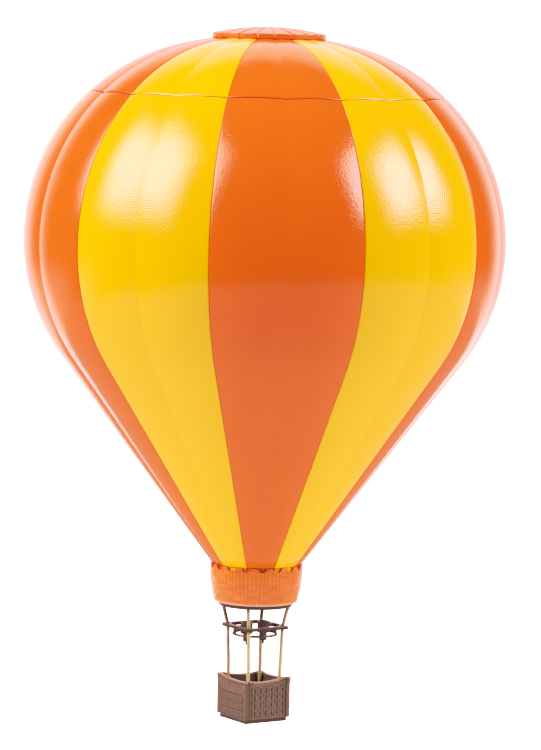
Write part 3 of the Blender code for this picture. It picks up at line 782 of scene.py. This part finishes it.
frame_outline = rounded_square(FRAME_OUTER, FRAME_CORNER_ROUND, 6)
burner_frame = show("burner_frame_moulding", plate_mesh(frame_outline, FRAME_HEIGHT),
                    burner_brown_polystyrene)
openings = bmesh.new()
prism(openings, frame_window(), 3 * FRAME_HEIGHT)
for number in range(WIRES):
    eye = spoke(FIRST_SEAM + number * 2 * math.pi / WIRES, WIRE_FRAME_RADIUS)
    prism(openings, circle(eye.x, eye.y, WIRE_RADIUS + EYE_CLEARANCE, 20), 3 * FRAME_HEIGHT)
cut_away(burner_frame, moulded(openings))
soften(burner_frame, NARROW_EDGE)
burner_frame.location.z = FRAME_Z
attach(burner_frame, "root")
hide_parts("burner_frame")

# Burners. Two brown mouldings, each a can held by an arm of the frame, a narrower valve body
# under it, and a small knob at the bottom.

CAN_BORE_RADIUS = 0.0010
CAN_BORE_DEPTH = 0.0005
VALVE_RADIUS = 0.0009
KNOB_RADIUS = 0.0003
# Heights from the middle of the frame
CAN_TOP = 0.0010
CAN_FOOT = -0.0017
VALVE_FOOT = -0.0036
KNOB_FOOT = -0.0045


def softened(points, cut):
    """The same outline with each inner corner cut back on both sides."""
    soft = [points[0]]
    for before, here, after in zip(points, points[1:], points[2:]):
        for other in (before, after):
            share = min(cut / math.dist(here, other), 0.4)
            soft.append((here[0] + (other[0] - here[0]) * share, here[1] + (other[1] - here[1]) * share))
    return soft + [points[-1]]


burner_profile = softened([
    (0.0, CAN_TOP - CAN_BORE_DEPTH), (CAN_BORE_RADIUS, CAN_TOP - CAN_BORE_DEPTH),
    (CAN_BORE_RADIUS, CAN_TOP), (CAN_RADIUS, CAN_TOP), (CAN_RADIUS, CAN_FOOT),
    (VALVE_RADIUS, CAN_FOOT), (VALVE_RADIUS, VALVE_FOOT), (KNOB_RADIUS, VALVE_FOOT),
    (KNOB_RADIUS, KNOB_FOOT), (0.0, KNOB_FOOT),
], NARROW_EDGE)
for number, x in ((1, -BURNER_X), (2, BURNER_X)):
    burner = show(f"burner_can_{number}", turned_mesh(burner_profile, 36, 40), burner_brown_polystyrene)
    burner.location = (x, 0, FRAME_Z)
    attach(burner, "root")
    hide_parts(f"burner_{number}")

# Pipe ring. The gas pipe of the burners, a thin brown ring below the frame, with an upright that
# meets the underside of each bar a little beside its middle.

PIPE_RING_RADIUS = 0.0052
PIPE_RADIUS = 0.00032
PIPE_RING_Z = -0.14560
PIPE_POSTS = 4
PIPE_POST_RADIUS = 0.00045
PIPE_POST_TAPER = 0.85
PIPE_POST_TURN = math.radians(-11.5)


def pipe_ring_mesh():
    """The ring and its four uprights, as closed bodies in one mesh."""
    shape = bmesh.new()
    section = circle(PIPE_RING_RADIUS, PIPE_RING_Z, PIPE_RADIUS, 14)
    shape.from_mesh(turned_mesh(section[::-1], 96, 60))
    top = FRAME_Z - FRAME_HEIGHT / 2
    for number in range(PIPE_POSTS):
        place = spoke(PIPE_POST_TURN + number * 2 * math.pi / PIPE_POSTS, PIPE_RING_RADIUS,
                      (top + PIPE_RING_Z) / 2)
        bmesh.ops.create_cone(shape, cap_ends=True, segments=16, radius1=PIPE_POST_RADIUS,
                              radius2=PIPE_POST_RADIUS * PIPE_POST_TAPER, depth=top - PIPE_RING_Z,
                              matrix=Matrix.Translation(place))
    return moulded(shape, 50)


pipe = show("gas_pipe_ring", pipe_ring_mesh(), burner_brown_polystyrene)
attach(pipe, "root")
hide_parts("burner_pipe_ring")

# Basket walls. Four brown mouldings with a raised wicker pattern outside, glued at the corners:
# the left and right walls run the full length, and the front and back ones fit between them. The
# top edges sag a little between raised corners and end in a rounded lip.

BASKET_SIDE = 0.0129
BASKET_WALL = 0.00095
BASKET_CORNER_Z = -0.1557
BASKET_BOTTOM_Z = -0.1654
CORNER_GAP = 0.00006
RIM_SAG = 0.0006
RIM_WARP = 0.00025
RIM_CORNER_DROP = 0.0003
RIM_CORNER_START = 0.93
RIM_FLARE = 0.00025
RIM_FLARE_START = 0.8
RIM_FLARE_HEIGHT = 0.0018
RIM_BEAD = 0.00045
RIM_ROUND = 0.00035
RIM_INNER_ROUND = 0.00025
RIM_HIGHLIGHT_REACH = 0.0003
CORNER_ROUND = 0.00018
FOOT_ROUND = 0.00012
FOOT_BAND = 0.0003
SHADOW_GROOVE = 0.0003
WEAVE_RELIEF = 0.0003
WEAVE_ROW = 0.00182
WEAVE_START = 0.0003
LINE_WIDTH = 0.0005
RIB_PITCH = 0.0010
RIB_WIDTH = 0.00055
STAKE_START = 0.0005
STAKE_PITCH = 0.00157
STAKE_GAP = 0.00050
STAKE_SPLIT = 0.00035
PIT_HEIGHT = 0.0014
STRAND_GAP = 0.0003
GRID_STEP = 0.00008
GRID_LEVELS = 116
BASKET_BROWN = "675D4E"


def rim_z(share, warp):
    """Height of a wall's top edge; share runs from -1 to 1 along it."""
    corner = max(0.0, (abs(share) - RIM_CORNER_START) / (1 - RIM_CORNER_START))
    return (BASKET_CORNER_Z + warp * share - RIM_SAG * (1 - abs(share) ** 2.4)
            - RIM_CORNER_DROP * corner * corner)


def flared(share, under_rim):
    """How far a wall's upper corners lean out."""
    return (RIM_FLARE * max(0.0, (abs(share) - RIM_FLARE_START) / (1 - RIM_FLARE_START))
            * max(0.0, 1 - under_rim / RIM_FLARE_HEIGHT))


def groove(distance, width):
    """1 in the middle of a groove, 0 at its edges and beyond."""
    return 0.5 + 0.5 * math.cos(math.pi * min(1.0, abs(distance) / (width / 2)))


def off_pitch(value, pitch):
    """Distance to the nearest whole multiple of a pitch."""
    return value - round(value / pitch) * pitch


def laid_rows(x, up):
    """Depth share of the wicker of the side walls: level grooves with short ribs between them."""
    line = groove(off_pitch(up - WEAVE_START, WEAVE_ROW), LINE_WIDTH)
    rib = groove(off_pitch(x, RIB_PITCH), RIB_WIDTH)
    return max(0.9 * line, 0.75 * rib * (1 - line))


def upright_stakes(x, up):
    """Depth share of the wicker of the end walls: upright grooves with a pit at every row."""
    pit = groove(off_pitch(up + WEAVE_START, WEAVE_ROW), PIT_HEIGHT)
    stake = groove(off_pitch(x - STAKE_START, STAKE_PITCH), STAKE_GAP)
    split = groove(off_pitch(x - STAKE_START - STAKE_PITCH / 2, STAKE_PITCH), STAKE_SPLIT)
    strand = groove(off_pitch(up, WEAVE_ROW / 4), STRAND_GAP)
    return max(stake * (0.45 + 0.55 * pit), split * (0.45 - 0.3 * pit), 0.18 * strand)


def weave_depth(x, z, half, top, band, border, pattern):
    """How deep a wall's face lies below its highest relief at a point, from 0 to 1."""
    under_rim = top - z
    up = z - BASKET_BOTTOM_Z
    if under_rim < RIM_BEAD:
        return 0.0
    shadow_line = 0.8 * groove(under_rim - RIM_BEAD - 0.00012, SHADOW_GROOVE)
    if under_rim < band or up < FOOT_BAND or half - abs(x) < border:
        edge = 0.6 * groove(half - abs(x) - border, SHADOW_GROOVE)
        return max(0.25, shadow_line, edge)
    rough = 0.15 * noise.noise(Vector((x * 2500, z * 2500, half * 500)))
    return min(1.0, max(0.0, pattern(x, up) + rough))


def wall_mesh(length, warp, band, border, pattern):
    """A wall facing +Y: a fine grid for its outside, drawn back to its thickness."""
    half = length / 2
    shape = bmesh.new()
    bmesh.ops.create_grid(shape, x_segments=round(length / GRID_STEP), y_segments=GRID_LEVELS, size=1.0)
    painted_shade = shape.verts.layers.float.new("painted_shade")
    rim_light = shape.verts.layers.float.new("rim_highlight")
    for vertex in shape.verts:
        share = vertex.co.x
        x = share * half
        top = rim_z(share, warp)
        z = BASKET_BOTTOM_Z + (top - BASKET_BOTTOM_Z) * (vertex.co.y + 1) / 2
        depth = weave_depth(x, z, half, top, band, border, pattern)
        rounding = fallen(top - z, RIM_ROUND) + fallen(half - abs(x), CORNER_ROUND)
        rounding += fallen(z - BASKET_BOTTOM_Z, FOOT_ROUND)
        # Painted shade in the deeper parts of the wicker
        vertex[painted_shade] = max(0.0, depth - 0.3)
        # Painted highlight along the top of the rim
        vertex[rim_light] = 0.6 * max(0.0, 1 - (top - z) / RIM_HIGHLIGHT_REACH)
        vertex.co = (x, WEAVE_RELIEF * (1 - depth) - rounding + flared(share, top - z), z)
    back = bmesh.ops.extrude_face_region(shape, geom=shape.faces[:])
    for item in back["geom"]:
        if isinstance(item, bmesh.types.BMVert):
            # Painted shade on the inner face
            item[painted_shade] = 0.4
            top = rim_z(item.co.x / half, warp)
            item.co.y = (-BASKET_WALL + fallen(top - item.co.z, RIM_INNER_ROUND)
                         + flared(item.co.x / half, top - item.co.z))
    bmesh.ops.recalc_face_normals(shape, faces=shape.faces)
    return moulded(shape, 60)


basket_brown_polystyrene = blasted_polystyrene("basket_brown_polystyrene", BASKET_BROWN)
short_side = BASKET_SIDE - 2 * (WEAVE_RELIEF + BASKET_WALL + CORNER_GAP)
# Length, rim's warp, plain band under the rim, plain border at the corners, wicker
side_wall = (BASKET_SIDE, RIM_WARP, 0.0031, 0.0010, laid_rows)
end_wall = (short_side, -RIM_WARP, 0.0013, 0.0006, upright_stakes)
for side, turn, kind in (("left", 90, side_wall), ("right", -90, side_wall), ("back", 0, end_wall),
                         ("front", 180, end_wall)):
    wall = show(f"wicker_wall_{side}", wall_mesh(*kind), basket_brown_polystyrene)
    wall.rotation_euler = Euler((0, 0, math.radians(turn)))
    wall.location = wall.rotation_euler.to_matrix() @ Vector((0, BASKET_SIDE / 2 - WEAVE_RELIEF, 0))
    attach(wall, "root")
    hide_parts(f"basket_wall_{side}")

# Basket floor. A square brown plate glued under the walls, set in a little from their faces.

FLOOR_SIDE = 0.0117
FLOOR_CORNER_ROUND = 0.00015
FLOOR_BOTTOM_Z = -0.1664

floor_outline = rounded_square(FLOOR_SIDE / 2, FLOOR_CORNER_ROUND, 3)
floor_height = BASKET_BOTTOM_Z - FLOOR_BOTTOM_Z
plate = show("basket_floor_plate", plate_mesh(floor_outline, floor_height), burner_brown_polystyrene)
soften(plate, NARROW_EDGE)
plate.location.z = FLOOR_BOTTOM_Z + floor_height / 2
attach(plate, "root")
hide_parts("basket_floor")

# Studio. The balloon hangs over a plain white floor, between two soft boxes, in front of a bright
# white background. The space in front of it stays dim, as in a product photograph.

FLOOR_DROP = 0.30
FLOOR_REACH = 0.70
FLOOR_TO_THE_RIGHT = 0.16
FLOOR_TO_THE_FRONT = 0.07
ROOM_LIGHT = 0.70
CAMERA_DISTANCE = 0.900
CAMERA_HEIGHT = 0.0027
CAMERA_AZIMUTH = math.radians(-32.5)
CAMERA_PITCH = math.radians(5.44)
CAMERA_ROLL = math.radians(1.4)
FOCAL_PIXELS = 3777
AXIS_OFFSET_PIXELS = -9.4
FRAME_HEIGHT_PIXELS = 750
# Brightness in the scene that the camera records as pure white, and its response below that
WHITE_POINT = 2.5
RESPONSE = ((0, 0), (0.2, 0.2), (0.3, 0.32), (0.45, 0.50), (0.55, 0.555), (0.65, 0.60), (0.85, 0.715),
            (1.1, 0.83), (1.3, 0.885), (1.6, 0.94), (2.0, 0.98), (2.5, 1))
RED_RESPONSE = ((0, 0), (0.2, 0.2), (0.3, 0.31), (0.45, 0.48), (0.6, 0.66), (0.75, 0.76), (0.9, 0.81),
                (1.05, 0.855), (1.16, 0.885), (1.27, 0.925), (1.4, 0.96), (1.7, 0.985), (2.5, 1))
RED_GAIN = 1.5
# The camera's curves turn this faint blue-green into white
PAPER_SHADES = ("8E9D9D", "94A3A3")

paper = bmesh.new()
floor_middle = spoke(CAMERA_AZIMUTH + math.pi / 2, FLOOR_TO_THE_RIGHT, -FLOOR_DROP)
floor_middle += spoke(CAMERA_AZIMUTH, FLOOR_TO_THE_FRONT)
bmesh.ops.create_circle(paper, cap_ends=True, segments=96, radius=FLOOR_REACH,
                        matrix=Matrix.Translation(floor_middle))
white_paper, tree, shader = new_material("white_floor_paper")
paper_grain = add_node(tree, "TexNoise", {"Scale": 40.0, "Detail": 4.0})
paper_tint = add_node(tree, "Mix", {
    0: paper_grain, 6: linear(PAPER_SHADES[0]), 7: linear(PAPER_SHADES[1])}, data_type="RGBA")
feed(tree, shader, {"Base Color": paper_tint, "Roughness": 0.9})
floor = show("studio_floor", moulded(paper), white_paper)

world = bpy.data.worlds.new("studio_air")
bpy.context.scene.world = world
world.use_nodes = True
tree = world.node_tree
direction = add_node(tree, "TexCoord").outputs["Generated"]
behind = add_node(tree, "VectorMath", {0: direction, 1: -spoke(CAMERA_AZIMUTH, 1.0)},
                  operation="DOT_PRODUCT")
glow = add_node(tree, "MapRange", {"Value": behind, "From Min": 0.58, "From Max": 0.92, "To Max": 1.3},
                interpolation_type="SMOOTHSTEP")
# The backdrop also curves up behind and over the balloon, no wider than itself
sideways = add_node(tree, "VectorMath", {0: direction, 1: spoke(CAMERA_AZIMUTH + math.pi / 2, 1.0)},
                    operation="DOT_PRODUCT")
sideways = add_node(tree, "Math", {0: sideways}, operation="ABSOLUTE")
narrow = add_node(tree, "MapRange", {"Value": sideways, "From Min": 0.50, "From Max": 0.15},
                  interpolation_type="SMOOTHSTEP")
over = add_node(tree, "MapRange", {"Value": behind, "From Min": 0.57, "From Max": 0.68, "To Max": 1.1},
                interpolation_type="SMOOTHSTEP")
over = add_node(tree, "Math", {0: over, 1: narrow}, operation="MULTIPLY")
glow = add_node(tree, "Math", {0: over, 1: glow}, operation="MAXIMUM")
# The far part of the paper floor, which the small one in the scene doesn't reach
height = add_node(tree, "SeparateXYZ", {0: direction}).outputs["Z"]
below = add_node(tree, "MapRange", {"Value": height, "From Min": -0.10, "From Max": -0.28,
                                    "To Max": 0.78}, interpolation_type="SMOOTHSTEP")
aside = add_node(tree, "MapRange", {"Value": behind, "From Min": -0.10, "From Max": 0.50},
                 interpolation_type="SMOOTHSTEP")
light = add_node(tree, "Math", {0: below, 1: aside, 2: glow}, operation="MULTIPLY_ADD")
# Light that the white room throws back from its sides, too even to show as a reflection
ray = add_node(tree, "LightPath")
room = add_node(tree, "MapRange", {"Value": behind, "From Min": -0.25, "From Max": 0.6,
                                   "To Max": ROOM_LIGHT}, interpolation_type="SMOOTHSTEP")
even = add_node(tree, "Math", {0: ray.outputs["Is Diffuse Ray"], 1: room, 2: light},
                operation="MULTIPLY_ADD")
seen = add_node(tree, "Math", {0: ray.outputs["Is Camera Ray"], 1: WHITE_POINT, 2: even},
                operation="MULTIPLY_ADD")
feed(tree, tree.nodes["Background"], {"Color": (1, 1, 1, 1), "Strength": seen})

soft_boxes = (
    # name, azimuth from the camera, elevation, distance, width, height, radiance in the middle
    ("left", -67.5, 34, 1.20, 1.24, 1.14, 10.6),
    ("right", 75.5, 29.5, 1.20, 1.00, 0.88, 12.0),
    ("floor_fill", 0, -90, 0.235, 0.42, 0.42, 1.5),
)
middle = Vector((0, 0, EQUATOR_Z))
for name, azimuth, elevation, distance, width, height, radiance in soft_boxes:
    rise = math.radians(elevation)
    way = spoke(CAMERA_AZIMUTH + math.radians(azimuth), math.cos(rise), math.sin(rise))
    lamp = bpy.data.lights.new(f"soft_box_{name}", "AREA")
    lamp.shape = "RECTANGLE"
    lamp.size = width
    lamp.size_y = height
    lamp.energy = radiance * math.pi * width * height
    box = put_in_scene(lamp.name, lamp)
    box.location = middle + way * distance
    box.rotation_euler = way.to_track_quat("Z", "Y").to_euler()
    box.visible_camera = False
    if name == "floor_fill":
        box.visible_glossy = False
        continue
    # The diffuser is brightest in its middle and fades towards all four edges
    lamp.use_nodes = True
    tree = lamp.node_tree
    on_cloth = add_node(tree, "NewGeometry").outputs["Parametric"]
    halves = add_node(tree, "SeparateXYZ", {0: on_cloth})
    shares = []
    for axis in ("X", "Y"):
        off = add_node(tree, "Math", {0: halves.outputs[axis], 1: 2.0, 2: -1.0},
                       operation="MULTIPLY_ADD")
        square = add_node(tree, "Math", {0: off, 1: off}, operation="MULTIPLY")
        shares.append(add_node(tree, "Math", {0: 1.0, 1: square}, operation="SUBTRACT"))
    fade = add_node(tree, "Math", {0: shares[0], 1: shares[1]}, operation="MULTIPLY")
    feed(tree, tree.nodes["Emission"], {"Strength": fade})

lens = bpy.data.cameras.new("studio_camera")
lens.sensor_fit = "VERTICAL"
lens.sensor_height = 36.0
lens.lens = FOCAL_PIXELS / FRAME_HEIGHT_PIXELS * lens.sensor_height
lens.clip_start = 0.01
camera = put_in_scene("studio_camera", lens)
camera.location = spoke(CAMERA_AZIMUTH, CAMERA_DISTANCE, CAMERA_HEIGHT)
pan = CAMERA_AZIMUTH + math.atan(AXIS_OFFSET_PIXELS / FOCAL_PIXELS)
aim = Matrix.Rotation(pan, 3, "Z") @ Matrix.Rotation(math.pi / 2 - CAMERA_PITCH, 3, "X")
camera.rotation_euler = (aim @ Matrix.Rotation(CAMERA_ROLL, 3, "Z")).to_euler()
bpy.context.scene.camera = camera
view = bpy.context.scene.view_settings
view.view_transform = "Standard"
view.use_curve_mapping = True
view.curve_mapping.white_level = (WHITE_POINT,) * 3
view.curve_mapping.use_clip = False
for channel, gain, response in ((0, RED_GAIN, RED_RESPONSE), (1, 1.0, RESPONSE), (2, 1.0, RESPONSE)):
    curve = view.curve_mapping.curves[channel]
    places = [(light / gain / WHITE_POINT, level) for light, level in response]
    for x, y in places[1:-1]:
        curve.points.new(x, y)
    curve.points[-1].location = places[-1]
view.curve_mapping.update()
